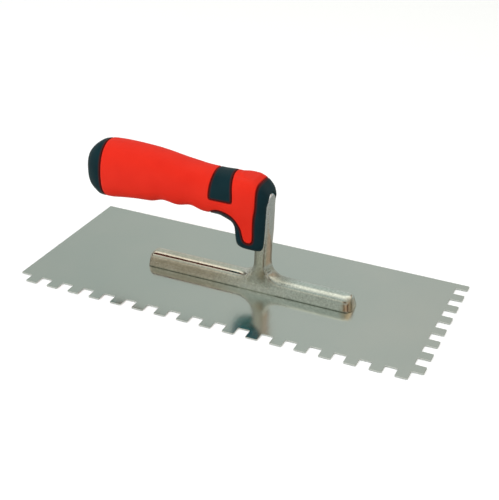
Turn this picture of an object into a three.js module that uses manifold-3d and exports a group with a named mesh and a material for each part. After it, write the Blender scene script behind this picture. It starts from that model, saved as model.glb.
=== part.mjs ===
// Notched trowel: stainless blade with square notches on one long and one
// short edge, a cast mounting bar with a standing post, and a two-colour
// hand grip fixed on the post's tang by a long screw under the butt cap.
// Millimetres. Origin at the centre of the blade's underside, +X along the
// long edge towards the post, +Y towards the plain long edge, +Z up.
// "Front" and "right" are towards +X, "back" and "left" towards -X.
import * as THREE from 'three';
import { mergeVertices } from 'three/addons/utils/BufferGeometryUtils.js';
import Module from 'manifold-3d';

const wasm = await Module();
wasm.setup();

// ---- driving dimensions -------------------------------------------------
const BLADE_LENGTH = 280;
const BLADE_WIDTH = 128;
const BLADE_THICKNESS = 0.8;
const NOTCH_PITCH = 16;
const NOTCH_DEPTH = 8;
const TOOTH_WIDTH = 8;
const LONG_EDGE_TEETH = 17;
const SHORT_EDGE_TEETH = 8;
const LONG_EDGE_FIRST_TOOTH = 8.6;   // from the left end
const SHORT_EDGE_FIRST_TOOTH = 9.2;  // from the notched long edge

const BAR_LEFT = -68.6;              // ends of the bar's foot
const BAR_RIGHT = 78.7;
const BAR_HALF_WIDTH = 9.3;
const BAR_TOP = 10.1;                // height of its crown above z = 0
const BAR_SIDE_DRAFT = 0.3;          // inward lean per mm of height
const BAR_LEFT_DRAFT = 0.03;
const BAR_RIGHT_DRAFT = 0.08;
const BAR_LEFT_CORNER = 2.8;         // corner radii in plan
const BAR_RIGHT_CORNER = 6.2;
const BAR_MIN_CORNER = 0.6;
const BAR_MIN_FLAT = 0.2;            // least half width left between two corners
const BAR_END_ROUNDING = 0.6;        // share of the side rounding taken at the ends
const BAR_CORNER_ROUNDING = 0.5;     // share of it taken off the corner radii
const BAR_SIDES = 32;
// z, how far the edge is rounded in from the drafted side
const BAR_ROWS = [
  [BLADE_THICKNESS, 0], [6.4, 0.1], [8.1, 0.5], [9.2, 1.4], [9.8, 2.6], [BAR_TOP, 4.6],
];

const POST_BACK = 8.7;               // x faces of the post
const POST_FRONT = 17.8;
const POST_HALF_WIDTH = 7.1;
const POST_SPRING = 62.9;            // where its arched head starts
const POST_ARCH_ANGLES = [0, 22, 42, 60, 76];  // degrees up the arch
const POST_ARCH_SETBACK = 2.2;       // how far the arch's front face leans back
// z, extra at the front and back, extra half width; the foot flares into the bar
const POST_FLARE = [
  [2.5, 8.2, 1.2], [8.7, 7.6, 0], [9.9, 4.6, 0], [11.4, 2.5, 0],
  [13.6, 1.0, 0], [16.5, 0.2, 0], [40, 0, 0],
];

const TANG_END = -66;
const TANG_Z = 63.5;
// x, half width, height above TANG_Z, depth below TANG_Z
const TANG_ROWS = [
  [TANG_END, 3.4, 3.6, 3.6], [-20, 4.2, 4.4, 4.4], [4, 5.0, 4.6, 6.0], [12, 5.6, 4.6, 9.0],
];

const RIVET_COUNT = 8;
const RIVET_FIRST_X = -55;
const RIVET_PITCH = 17.6;
const RIVET_SHANK_R = 1.8;
const RIVET_HEAD_R = 3.0;
const RIVET_TOP = 6.2;
const RIVET_OVERLAP = 0.2;           // shank sunk into the head
const RIVET_SIDES = 16;

const SCREW_R = 2.5;
const SCREW_HEAD_R = 4.5;
const SCREW_HEAD_LENGTH = 4;
const SCREW_HEAD_X = -104;           // outer face of the head
const SCREW_HEAD_END = SCREW_HEAD_X + SCREW_HEAD_LENGTH;
const SCREW_TIP_X = -50;
const SCREW_OVERLAP = 0.5;           // shank sunk into the head
const SCREW_BORE_EXTRA = 1.5;        // bore beyond the tip
const SCREW_Z = TANG_Z;
const SOCKET_R = 2.4;
const SOCKET_DEPTH = 2.5;
const SOCKET_OVERRUN = 0.1;
const WASHER_R = 6.2;
const WASHER_THICKNESS = 1.2;
const WASHER_END = SCREW_HEAD_END + WASHER_THICKNESS;
const ROUND_SIDES = 24;              // screw head, washer and their bore

const CAP_X = -101.3;                // butt cap parting plane
const PARTING = 0.1;                 // clearance between moulded pieces
const SHELL = 3.6;                   // thickness of grip over the core

const CLEARANCE = {
  rivet: 0.05,
  screwInTang: 0.05,
  screwInWasher: 0.15,
  screwInCore: 0.25,
  washerInCore: 0.4,
  core: 0.15,                        // core around the post and tang
  shellPost: 0.12,
  shellTang: 0.2,
};

// Cutting solids reach past the parts they cut.
const CUT_HALF_WIDTH = 40;
const CUT_FRONT = 40;                // far x of the collar's front opening
const OPENING_BOTTOM = 10;
const OPENING_SIDES = 36;
const CAP_CUT = { start: -140, bottom: 20, top: 110 };
const CORE_CUT = { end: 60, bottom: 0, top: 120 };
const BUTT_BORE_START = -130;
const BORE_OVERRUN = 5;              // bores run past the tang's end, both ways
const RIVET_OVERRUN_RATIO = 10;      // hole's run below the blade per mm of clearance

// Superellipse powers of the sections: 2 is an ellipse, higher is squarer.
const POWER = { grip: 2.25, noseFront: 4, noseBack: 2.6, coreNose: 2.7, post: 5, tang: 3.2 };
const SIDES = { envelope: 28, core: 24, post: 28, tang: 20 };

// Grip envelope along x: x, half width, top z, bottom z.
const GRIP = [
  [-116.2, 2.6, 70, 61.6], [-115.3, 6.2, 74.7, 57], [-113.3, 9.7, 78.2, 50.4],
  [-109.8, 12.5, 81.7, 47.5], [-104.5, 14.5, 84.9, 44.7], [-97.5, 15.2, 86.1, 44.8],
  [-88, 15.1, 86.5, 46.1], [-78, 14.6, 86.3, 47.2], [-68, 14.1, 85.8, 47.8],
  [-58, 13.7, 84.7, 50.4], [-48, 13.3, 83.1, 49.2], [-38, 13.1, 81.8, 51.1],
  [-28, 12.8, 80.8, 48.8], [-18, 12.7, 80.6, 48.6], [-8, 12.6, 81.2, 46],
  [1, 12.3, 79.8, 46.9], [8, 11.7, 77.1, 47.3],
];
// Nose and finger guard envelope along z: z, front x, back x, half width.
const NOSE = [
  [30.2, 13.8, 1.9, 6.7], [30.8, 15.2, -3.4, 8.2], [32.1, 16.2, -5.2, 9.5],
  [34.5, 16.6, -5.8, 10.1], [42, 16.6, -6.8, 10.5], [48, 16.4, -8, 11.1],
  [55, 16.4, -9.1, 11.7], [62, 17, -10.2, 12.2], [66, 17.9, -10.2, 12.5],
  [70, 17, -9.7, 12.3], [73.5, 15.1, -8.7, 11.8], [76.5, 12.1, -7.2, 10.7],
  [78.8, 8.2, -4.6, 8.7], [79.6, 7, -1.6, 5.7],
];
// The core follows the envelope between these limits.
const CORE_BUTT = { x: -112.2, halfWidth: 7.2, top: 75.5, bottom: 54 };  // its end section
const CORE_GRIP_START = -112;
const CORE_NOSE_BOTTOM = 33.5;
const CORE_NOSE_TOP = 77;
const CORE_NOSE_FRONT = 15;          // before it is cut off behind the post

// Windows of the black pieces: x,z outlines, counter-clockwise with x right and z up.
const PAD_OUTLINE = [
  [-20.4, 95], [-21.0, 79.8], [-22.0, 72.8], [-22.1, 66], [-21.8, 64.2], [-20.4, 62.9],
  [-7.4, 62.9], [-6.0, 64.4], [-5.8, 67.5], [-6.4, 72], [-7.4, 77.6], [-8.4, 82], [-8.6, 95],
];
const COLLAR_OUTLINE = [
  [10.2, 95], [10.5, 76], [10.7, 66], [10.4, 61], [9.4, 55], [8.9, 47], [8.9, 40.4],
  [8.6, 37.6], [7.2, 36.1], [4.0, 36.1], [2.4, 37.4], [1.2, 40.6], [0.1, 44.6],
  [-2.2, 48], [-4.4, 50.8], [-7.7, 53.2], [-12.1, 55.0], [-17.4, 54.9], [-21.0, 53.4],
  [-24.0, 50.6], [-25.5, 46], [-25.5, 15], [45, 15], [45, 95],
];

// ---- materials ----------------------------------------------------------
const STEEL = { color: 0xa4aba3, roughness: 0.3, metalness: 1.0 };
const CAST = { color: 0xb4b1a2, roughness: 0.32, metalness: 1.0 };
const ZINC = { color: 0xb9bcbe, roughness: 0.4, metalness: 1.0 };
const RED = { color: 0xe23224, roughness: 0.55, metalness: 0.0 };
const BLACK = { color: 0x1f2a2e, roughness: 0.5, metalness: 0.0 };
const DARK_GREY = { color: 0x2b2d30, roughness: 0.6, metalness: 0.0 };

// ---- helpers ------------------------------------------------------------
const WELD = 1e-5;       // vertices closer than this are merged
const NEAR_ZERO = 1e-6;  // sines and cosines below this count as zero

function toSolid(geometry) {
  geometry.deleteAttribute('normal');
  geometry.deleteAttribute('uv');
  const welded = mergeVertices(geometry, WELD);
  return new wasm.Manifold(new wasm.Mesh({
    numProp: 3,
    vertProperties: new Float32Array(welded.attributes.position.array),
    triVerts: new Uint32Array(welded.index.array),
  }));
}

function toGeometry(solid) {
  const mesh = solid.getMesh();
  const geometry = new THREE.BufferGeometry();
  const positions = new Float32Array(mesh.vertProperties);
  geometry.setAttribute('position', new THREE.BufferAttribute(positions, 3));
  geometry.setIndex(new THREE.BufferAttribute(new Uint32Array(mesh.triVerts), 1));
  return geometry;
}

// A capped cylinder whose rings are moved onto a list of section rows.
// place(row, angle, reach) returns the point; reach is 1 on the rim, 0 at the hub.
function loft(rows, sides, place) {
  const steps = rows.length - 1;
  const geometry = new THREE.CylinderGeometry(1, 1, 1, sides, steps, false);
  const points = geometry.attributes.position;
  for (let i = 0; i < points.count; i++) {
    const x = points.getX(i);
    const z = points.getZ(i);
    const row = rows[Math.round((0.5 - points.getY(i)) * steps)];
    const reach = Math.hypot(x, z) > 0.5 ? 1 : 0;
    points.setXYZ(i, ...place(row, Math.atan2(z, x), reach));
  }
  const solid = toSolid(geometry);
  if (solid.volume() >= 0) return solid;
  // the rows turned the surface inside out, so reverse every triangle
  const index = geometry.index;
  for (let i = 0; i < index.count; i += 3) {
    const first = index.getX(i);
    index.setX(i, index.getX(i + 2));
    index.setX(i + 2, first);
  }
  return toSolid(geometry);
}

// The value raised to the exponent, keeping its sign.
function signedPower(value, exponent) {
  return Math.abs(value) < NEAR_ZERO ? 0 : Math.sign(value) * Math.pow(Math.abs(value), exponent);
}

// Superellipse sections across x; rows are x, half width, top z, bottom z.
function loftAlongX(rows, sides, power) {
  const exponent = 2 / power;
  return loft(rows, sides, ([x, halfWidth, top, bottom], angle, reach) => [
    x,
    reach * halfWidth * signedPower(Math.cos(angle), exponent),
    (top + bottom) / 2 + reach * ((top - bottom) / 2) * signedPower(Math.sin(angle), exponent),
  ]);
}

// Superellipse sections across z; rows are z, front x, back x, half width.
// The front and back halves of a section may have different powers.
function loftAlongZ(rows, sides, frontPower, backPower = frontPower) {
  return loft(rows, sides, ([z, front, back, halfWidth], angle, reach) => {
    const exponent = 2 / (Math.cos(angle) > NEAR_ZERO ? frontPower : backPower);
    return [
      (front + back) / 2 + reach * ((front - back) / 2) * signedPower(Math.cos(angle), exponent),
      reach * halfWidth * signedPower(Math.sin(angle), exponent),
      z,
    ];
  });
}

function extrude(outline, depth) {
  const shape = new THREE.Shape(outline.map(([x, y]) => new THREE.Vector2(x, y)));
  return new THREE.ExtrudeGeometry(shape, { depth, bevelEnabled: false });
}

// An outline in x,z cut straight across y.
function acrossY(outline, halfWidth) {
  const geometry = extrude(outline, 2 * halfWidth);
  geometry.rotateX(Math.PI / 2);
  geometry.translate(0, halfWidth, 0);
  return toSolid(geometry);
}

function rodX(start, end, radius, z, sides = 20) {
  const geometry = new THREE.CylinderGeometry(radius, radius, end - start, sides);
  geometry.rotateZ(Math.PI / 2);
  geometry.translate((start + end) / 2, 0, z);
  return toSolid(geometry);
}

function rodZ(x, bottom, top, bottomRadius, topRadius, sides) {
  const geometry = new THREE.CylinderGeometry(topRadius, bottomRadius, top - bottom, sides);
  geometry.rotateX(Math.PI / 2);
  geometry.translate(x, 0, (bottom + top) / 2);
  return toSolid(geometry);
}

// A box centred on y = 0.
function block(start, end, halfWidth, bottom, top) {
  const geometry = new THREE.BoxGeometry(end - start, 2 * halfWidth, top - bottom);
  geometry.translate((start + end) / 2, 0, (bottom + top) / 2);
  return toSolid(geometry);
}

const cutAll = (solid, cutters) => cutters.reduce((rest, cutter) => rest.subtract(cutter), solid);

// Moves the edges of a counter-clockwise outline outwards.
function offsetOutline(outline, distance) {
  const points = outline.map(([x, z]) => new THREE.Vector2(x, z));
  const edgeNormal = (from, to) => {
    const along = to.clone().sub(from).normalize();
    return new THREE.Vector2(along.y, -along.x);
  };
  return points.map((point, i) => {
    const before = edgeNormal(points[(i + points.length - 1) % points.length], point);
    const after = edgeNormal(point, points[(i + 1) % points.length]);
    const mitre = before.clone().add(after).normalize();
    const shift = distance / mitre.dot(before);
    return [point.x + mitre.x * shift, point.y + mitre.y * shift];
  });
}

// ---- rivets -------------------------------------------------------------
const rivetX = Array.from({ length: RIVET_COUNT }, (_, i) => RIVET_FIRST_X + RIVET_PITCH * i);

// Countersunk flush head in the sheet, straight shank up into the bar.
// A grown rivet is its hole, whose cone runs on below the blade.
function makeRivet(x, grow) {
  const below = grow * RIVET_OVERRUN_RATIO;
  const slope = (RIVET_HEAD_R - RIVET_SHANK_R) / BLADE_THICKNESS;
  const shankR = RIVET_SHANK_R + grow;
  const headR = RIVET_HEAD_R + grow + below * slope;
  const shankBottom = BLADE_THICKNESS - RIVET_OVERLAP;
  return rodZ(x, -below, BLADE_THICKNESS, headR, shankR, RIVET_SIDES)
    .add(rodZ(x, shankBottom, RIVET_TOP + grow, shankR, shankR, RIVET_SIDES));
}

const rivetHoles = rivetX.map((x) => makeRivet(x, CLEARANCE.rivet));

// ---- blade --------------------------------------------------------------
function bladeOutline() {
  const right = BLADE_LENGTH / 2;
  const left = -right;
  const plainEdge = BLADE_WIDTH / 2;
  const notchedEdge = -plainEdge;
  const longRoot = notchedEdge + NOTCH_DEPTH;
  const shortRoot = right - NOTCH_DEPTH;
  const points = [[left, plainEdge], [left, longRoot]];
  for (let i = 0; i < LONG_EDGE_TEETH; i++) {
    const start = left + LONG_EDGE_FIRST_TOOTH + NOTCH_PITCH * i;
    const end = start + TOOTH_WIDTH;
    points.push([start, longRoot], [start, notchedEdge], [end, notchedEdge], [end, longRoot]);
  }
  // the corner notch is shared by both edges
  const [cornerX] = points.pop();
  for (let i = 0; i < SHORT_EDGE_TEETH; i++) {
    const start = notchedEdge + SHORT_EDGE_FIRST_TOOTH + NOTCH_PITCH * i;
    const end = start + TOOTH_WIDTH;
    points.push([i === 0 ? cornerX : shortRoot, start], [right, start]);
    // the last tooth runs out to the plain edge
    if (i < SHORT_EDGE_TEETH - 1) points.push([right, end], [shortRoot, end]);
    else points.push([right, plainEdge]);
  }
  return points;
}

const makeBlade = () => cutAll(toSolid(extrude(bladeOutline(), BLADE_THICKNESS)), rivetHoles);

// ---- mounting casting: foot bar, post and tang --------------------------
// Each section is a rectangle with a quarter of the ring's points on each corner.
function makeBar() {
  const quarter = BAR_SIDES / 4;
  return loft(BAR_ROWS, BAR_SIDES, ([z, edge], ringAngle, reach) => {
    if (!reach) return [(BAR_LEFT + BAR_RIGHT) / 2, 0, z];
    const rise = z - BLADE_THICKNESS;
    const halfWidth = BAR_HALF_WIDTH - BAR_SIDE_DRAFT * rise - edge;
    const step = (Math.round((ringAngle / (2 * Math.PI)) * BAR_SIDES) + BAR_SIDES) % BAR_SIDES;
    const corner = Math.floor(step / quarter);
    const angle = (corner + (step % quarter) / (quarter - 1)) * (Math.PI / 2);
    const isRight = corner === 0 || corner === 3;
    const footRadius = isRight ? BAR_RIGHT_CORNER : BAR_LEFT_CORNER;
    const radius = Math.min(
      Math.max(footRadius - edge * BAR_CORNER_ROUNDING, BAR_MIN_CORNER),
      halfWidth - BAR_MIN_FLAT,
    );
    const endRounding = edge * BAR_END_ROUNDING;
    const centreX = isRight
      ? BAR_RIGHT - BAR_RIGHT_DRAFT * rise - endRounding - radius
      : BAR_LEFT + BAR_LEFT_DRAFT * rise + endRounding + radius;
    const centreY = (corner < 2 ? 1 : -1) * (halfWidth - radius);
    return [centreX + radius * Math.cos(angle), centreY + radius * Math.sin(angle), z];
  });
}

function makePost(grow) {
  const halfWidth = POST_HALF_WIDTH + grow;
  const shaft = POST_FLARE.map(([z, flareX, flareY]) => [
    z, POST_FRONT + flareX + grow, POST_BACK - flareX - grow, POST_HALF_WIDTH + flareY + grow,
  ]);
  const arch = POST_ARCH_ANGLES.map((degrees) => {
    const angle = (degrees * Math.PI) / 180;
    return [
      POST_SPRING + halfWidth * Math.sin(angle),
      POST_FRONT + grow - POST_ARCH_SETBACK * (1 - Math.cos(angle)),
      POST_BACK - grow,
      halfWidth * Math.cos(angle),
    ];
  });
  return loftAlongZ([...shaft, ...arch], SIDES.post, POWER.post);
}

function makeTang(grow) {
  const rows = TANG_ROWS.map(([x, halfWidth, above, below], i) => [
    i === 0 ? x - grow : x, halfWidth + grow, TANG_Z + above + grow, TANG_Z - below - grow,
  ]);
  return loftAlongX(rows, SIDES.tang, POWER.tang);
}

function makeCasting() {
  const screwBore = rodX(TANG_END - BORE_OVERRUN, SCREW_TIP_X + SCREW_BORE_EXTRA,
    SCREW_R + CLEARANCE.screwInTang, SCREW_Z);
  return cutAll(makeBar().add(makePost(0)).add(makeTang(0)), [...rivetHoles, screwBore]);
}

// ---- handle core --------------------------------------------------------
// The envelope drawn in by the shell, less grow, and stopping behind the post.
function coreBody(grow) {
  const inset = SHELL - grow;
  const { x: buttX, halfWidth: buttHalfWidth, top: buttTop, bottom: buttBottom } = CORE_BUTT;
  const gripRows = GRIP.filter(([x]) => x > CORE_GRIP_START)
    .map(([x, halfWidth, top, bottom]) => [x, halfWidth - inset, top - inset, bottom + inset]);
  const buttRow = [buttX - grow, buttHalfWidth + grow, buttTop + grow, buttBottom - grow];
  const noseRows = NOSE.filter(([z]) => z > CORE_NOSE_BOTTOM && z < CORE_NOSE_TOP)
    .map(([z, , back, halfWidth]) => [z, CORE_NOSE_FRONT, back + inset, halfWidth - inset]);
  return loftAlongX([buttRow, ...gripRows], SIDES.core, POWER.grip)
    .add(loftAlongZ(noseRows, SIDES.core, POWER.coreNose))
    .subtract(block(POST_BACK - CLEARANCE.core, CORE_CUT.end, CUT_HALF_WIDTH,
      CORE_CUT.bottom, CORE_CUT.top));
}

function makeCore() {
  return cutAll(coreBody(0), [
    makeTang(CLEARANCE.core),
    makePost(CLEARANCE.core),
    rodX(BUTT_BORE_START, TANG_END + BORE_OVERRUN, SCREW_R + CLEARANCE.screwInCore, SCREW_Z),
    rodX(BUTT_BORE_START, WASHER_END, WASHER_R + CLEARANCE.washerInCore, SCREW_Z, ROUND_SIDES),
  ]);
}

// ---- moulded shell: grip, butt cap, thumb pad and front collar ----------
function makeShell() {
  const envelope = loftAlongX(GRIP, SIDES.envelope, POWER.grip)
    .add(loftAlongZ(NOSE, SIDES.envelope, POWER.noseFront, POWER.noseBack));
  // the collar is open at the front, so the post shows from foot to arch
  const halfWidth = POST_HALF_WIDTH + CLEARANCE.shellPost;
  const frontOpening = block(POST_BACK, CUT_FRONT, halfWidth, OPENING_BOTTOM, POST_SPRING)
    .add(rodX(POST_BACK, CUT_FRONT, halfWidth, POST_SPRING, OPENING_SIDES));
  const postCavity = makePost(CLEARANCE.shellPost)
    .add(makeTang(CLEARANCE.shellTang))
    .add(frontOpening);
  return envelope.subtract(coreBody(PARTING)).subtract(postCavity);
}

const capWindow = (grow) => block(CAP_CUT.start, CAP_X + grow, CUT_HALF_WIDTH,
  CAP_CUT.bottom, CAP_CUT.top);
const outlineSeat = (outline) => acrossY(offsetOutline(outline, PARTING), CUT_HALF_WIDTH + 1);

const shell = makeShell();
const makeCap = () => shell.intersect(capWindow(0));
const makePad = () => shell.intersect(acrossY(PAD_OUTLINE, CUT_HALF_WIDTH));
const makeCollar = () => shell.intersect(acrossY(COLLAR_OUTLINE, CUT_HALF_WIDTH));
const makeGrip = () => cutAll(shell,
  [capWindow(PARTING), outlineSeat(PAD_OUTLINE), outlineSeat(COLLAR_OUTLINE)]);

// ---- screw and washer under the cap -------------------------------------
function makeScrew() {
  const socket = rodX(SCREW_HEAD_X - SOCKET_OVERRUN, SCREW_HEAD_X + SOCKET_DEPTH,
    SOCKET_R, SCREW_Z, 6);
  return rodX(SCREW_HEAD_X, SCREW_HEAD_END, SCREW_HEAD_R, SCREW_Z, ROUND_SIDES)
    .add(rodX(SCREW_HEAD_END - SCREW_OVERLAP, SCREW_TIP_X, SCREW_R, SCREW_Z))
    .subtract(socket);
}

function makeWasher() {
  const hole = rodX(SCREW_HEAD_X, SCREW_HEAD_X + 10, SCREW_R + CLEARANCE.screwInWasher, SCREW_Z);
  return rodX(SCREW_HEAD_END, WASHER_END, WASHER_R, SCREW_Z, ROUND_SIDES).subtract(hole);
}

// ---- scene --------------------------------------------------------------
const trowel = new THREE.Group();

function place(name, solid, finish) {
  const mesh = new THREE.Mesh(toGeometry(solid), new THREE.MeshStandardMaterial(finish));
  mesh.name = name;
  trowel.add(mesh);
}

place('blade', makeBlade(), STEEL);
place('mounting_casting', makeCasting(), CAST);
rivetX.forEach((x, i) => place(`rivet_${i + 1}`, makeRivet(x, 0), STEEL));
place('handle_core', makeCore(), DARK_GREY);
place('grip', makeGrip(), RED);
place('butt_cap', makeCap(), BLACK);
place('thumb_pad', makePad(), BLACK);
place('front_collar', makeCollar(), BLACK);
place('tang_screw', makeScrew(), ZINC);
place('tang_washer', makeWasher(), ZINC);

export default trowel;
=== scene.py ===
"""A square-notched trowel, modelled in millimetres and scaled to metres.

The blade lies flat on z = 0, long side along X, with teeth along its -Y edge and
its +X end. A riveted casting stands on it: a bar along X, a post near +X and a
tang running back towards -X. The moulded handle lies over the tang, its collar
at +X (the front) and its butt cap at -X (the rear).
"""
import math
from functools import partial

import bpy
import bmesh
import numpy as np
from mathutils import Matrix, Vector


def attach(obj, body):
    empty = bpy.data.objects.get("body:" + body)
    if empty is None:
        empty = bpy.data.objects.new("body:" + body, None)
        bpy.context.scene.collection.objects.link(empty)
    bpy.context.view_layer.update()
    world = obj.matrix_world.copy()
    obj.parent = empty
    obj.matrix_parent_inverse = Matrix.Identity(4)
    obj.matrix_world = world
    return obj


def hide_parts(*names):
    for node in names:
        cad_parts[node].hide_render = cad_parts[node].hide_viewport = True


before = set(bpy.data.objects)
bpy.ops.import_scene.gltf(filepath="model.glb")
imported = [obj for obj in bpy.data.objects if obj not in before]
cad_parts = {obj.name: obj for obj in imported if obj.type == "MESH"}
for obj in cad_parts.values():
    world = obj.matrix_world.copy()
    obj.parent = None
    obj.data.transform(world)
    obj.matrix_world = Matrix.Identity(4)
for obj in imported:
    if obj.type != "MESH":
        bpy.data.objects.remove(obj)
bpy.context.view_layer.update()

MM = 0.001


def add_object(name, data):
    ob = bpy.data.objects.new(name, data)
    bpy.context.scene.collection.objects.link(ob)
    return ob


# ---------------------------------------------------------------------------
# curves and signed fields (inside < 0), all in millimetres
# ---------------------------------------------------------------------------
CURVE_STEP = 0.1
OUTLINE_STEP = 0.2
OUTLINE_LOW, OUTLINE_HIGH = (-124, 24), (28, 94)  # x, z range that is tabulated


def monotone_cubic(xs, ys, x):
    """Interpolate through the points without overshoot."""
    width = np.diff(xs)
    slope = np.diff(ys) / width
    tangent = np.zeros_like(ys)
    tangent[0] = slope[0]
    tangent[-1] = slope[-1]
    for i in range(1, len(xs) - 1):
        if slope[i - 1] * slope[i] > 0:
            w1 = 2 * width[i] + width[i - 1]
            w2 = width[i] + 2 * width[i - 1]
            tangent[i] = (w1 + w2) / (w1 / slope[i - 1] + w2 / slope[i])
    x = np.clip(x, xs[0], xs[-1])
    k = np.clip(np.searchsorted(xs, x, side="right") - 1, 0, len(xs) - 2)
    t = (x - xs[k]) / width[k]
    return ((2 * t**3 - 3 * t**2 + 1) * ys[k]
            + (t**3 - 2 * t**2 + t) * width[k] * tangent[k]
            + (-2 * t**3 + 3 * t**2) * ys[k + 1]
            + (t**3 - t**2) * width[k] * tangent[k + 1])


def station_curves(rows, low, high):
    """A curve for each column after the first, tabulated from low to high."""
    places, *columns = np.array(rows, float).T
    grid = np.arange(low, high + CURVE_STEP, CURVE_STEP)
    return [partial(np.interp, xp=grid, fp=monotone_cubic(places, column, grid))
            for column in columns]


def smin(a, b, blend):
    """Minimum with a rounded join; blend is the width of the join."""
    h = np.clip(0.5 + 0.5 * (b - a) / blend, 0, 1)
    return b * (1 - h) + a * h - blend * h * (1 - h)


def smax(a, b, blend):
    return -smin(-a, -b, blend)


def smooth_outline(points, rounds=2):
    """Cut the corners of a closed outline at its quarter points."""
    points = np.array(points, float)
    for _ in range(rounds):
        after = np.roll(points, -1, 0)
        points = np.stack([0.75 * points + 0.25 * after,
                           0.25 * points + 0.75 * after], 1).reshape(-1, 2)
    return points


class Outline:
    """Signed distance to a smoothed, closed x, z outline, tabulated."""

    def __init__(self, points):
        points = smooth_outline(points)
        X, Z = np.meshgrid(*(np.arange(low, high + OUTLINE_STEP, OUTLINE_STEP)
                             for low, high in zip(OUTLINE_LOW, OUTLINE_HIGH)), indexing="ij")
        best = np.full(X.shape, 1e9)
        inside = np.zeros(X.shape, bool)
        for a, b in zip(points, np.roll(points, -1, 0)):
            e = b - a
            t = np.clip(((X - a[0]) * e[0] + (Z - a[1]) * e[1]) / max(e @ e, 1e-12), 0, 1)
            best = np.minimum(best, np.hypot(X - a[0] - t * e[0], Z - a[1] - t * e[1]))
            crosses = (a[1] > Z) != (b[1] > Z)
            rise = e[1] if abs(e[1]) > 1e-12 else 1e-12
            inside ^= crosses & (X < e[0] * (Z - a[1]) / rise + a[0])
        self.values = np.where(inside, -best, best)

    def __call__(self, x, z):
        x, z = np.broadcast_arrays(x, z)
        v = self.values
        i = np.clip((x - OUTLINE_LOW[0]) / OUTLINE_STEP, 0, v.shape[0] - 1.001)
        k = np.clip((z - OUTLINE_LOW[1]) / OUTLINE_STEP, 0, v.shape[1] - 1.001)
        i0 = i.astype(int)
        k0 = k.astype(int)
        fi = i - i0
        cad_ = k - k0
        return ((1 - fi) * (1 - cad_) * v[i0, k0] + fi * (1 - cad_) * v[i0 + 1, k0]
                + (1 - fi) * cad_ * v[i0, k0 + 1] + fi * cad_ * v[i0 + 1, k0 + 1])


# ---------------------------------------------------------------------------
# meshing a field
# ---------------------------------------------------------------------------
CORNERS = [(i, j, k) for i in (0, 1) for j in (0, 1) for k in (0, 1)]


def corner_views(grid):
    """The grid as seen from each of the eight corners of its cells."""
    ni, nj, nk = (size - 1 for size in grid.shape)
    return [grid[i:i + ni, j:j + nj, k:k + nk] for i, j, k in CORNERS]


def unpinch(F):
    """Fill corners that would pinch the surface to a shared edge or point.

    Opposite corners of a grid face, or of a whole cell, that stand alone do so;
    the nearer outside corner is filled. Values of nearly zero would collapse
    edges, so they are moved off.
    """
    tiny = 0.02
    F[(F >= 0) & (F < tiny)] = tiny
    F[(F < 0) & (F > -tiny)] = -tiny
    for _ in range(20):
        hits = 0
        for axes in ((0, 1), (1, 2), (0, 2)):
            ring = []
            for offsets in ((0, 0), (1, 0), (1, 1), (0, 1)):
                cut = [slice(None)] * 3
                for axis, offset in zip(axes, offsets):
                    cut[axis] = slice(offset, F.shape[axis] - 1 + offset)
                ring.append(F[tuple(cut)])
            for k in (0, 1):
                p, q, r, s = (ring[(k + turn) % 4] for turn in range(4))
                bad = (p < 0) & (r < 0) & (q >= 0) & (s >= 0)
                near = q <= s
                hits += int(bad.sum())
                q[bad & near] = -tiny
                s[bad & ~near] = -tiny
        inside = corner_views(F < 0)
        count = sum(corner.astype(np.int8) for corner in inside)
        pair = np.zeros(count.shape, bool)
        for k in range(4):
            pair |= (count == 2) & inside[k] & inside[7 - k]
            pair |= (count == 6) & ~inside[k] & ~inside[7 - k]
        for i, j, k in zip(*np.nonzero(pair)):
            outside = [(F[i + a, j + b, k + c], a, b, c) for a, b, c in CORNERS
                       if F[i + a, j + b, k + c] >= 0]
            if outside:
                _, a, b, c = min(outside)
                F[i + a, j + b, k + c] = -tiny
                hits += 1
        if not hits:
            break
    return F


def cell_points(F, cells):
    """Mean of the crossings on each cell's edges, in grid units."""
    I, J, K = cells
    values = np.stack([F[I + a, J + b, K + c] for a, b, c in CORNERS], 1)
    total = np.zeros((len(I), 3))
    crossings = np.zeros(len(I))
    for p in range(8):
        for q in range(p + 1, 8):
            start, end = np.array(CORNERS[p]), np.array(CORNERS[q])
            if np.abs(start - end).sum() != 1:
                continue
            fa, fb = values[:, p], values[:, q]
            crossed = (fa < 0) != (fb < 0)
            t = np.where(crossed, fa / np.where(crossed, fa - fb, 1), 0)
            total += np.where(crossed[:, None], start + t[:, None] * (end - start), 0)
            crossings += crossed
    return np.stack([I, J, K], 1) + total / crossings[:, None]


def cell_quads(inside, vertex_of):
    """A quad across every grid edge that the surface cuts."""
    quads = []
    for axis in range(3):
        before = [slice(None)] * 3
        after = [slice(None)] * 3
        before[axis] = slice(0, -1)
        after[axis] = slice(1, None)
        edges = np.stack(np.nonzero(inside[tuple(before)] != inside[tuple(after)]), 1)
        b, c = [(1, 2), (2, 0), (0, 1)][axis]
        kept = ((edges[:, b] > 0) & (edges[:, c] > 0)
                & (edges[:, b] < vertex_of.shape[b]) & (edges[:, c] < vertex_of.shape[c]))
        edges = edges[kept]
        ring = []
        for back_b, back_c in ((1, 1), (0, 1), (0, 0), (1, 0)):
            cell = edges.copy()
            cell[:, b] -= back_b
            cell[:, c] -= back_c
            ring.append(vertex_of[tuple(cell.T)])
        quad = np.stack(ring, 1)
        quads.append(np.where(inside[tuple(edges.T)][:, None], quad, quad[:, ::-1]))
    return np.concatenate(quads)


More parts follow.
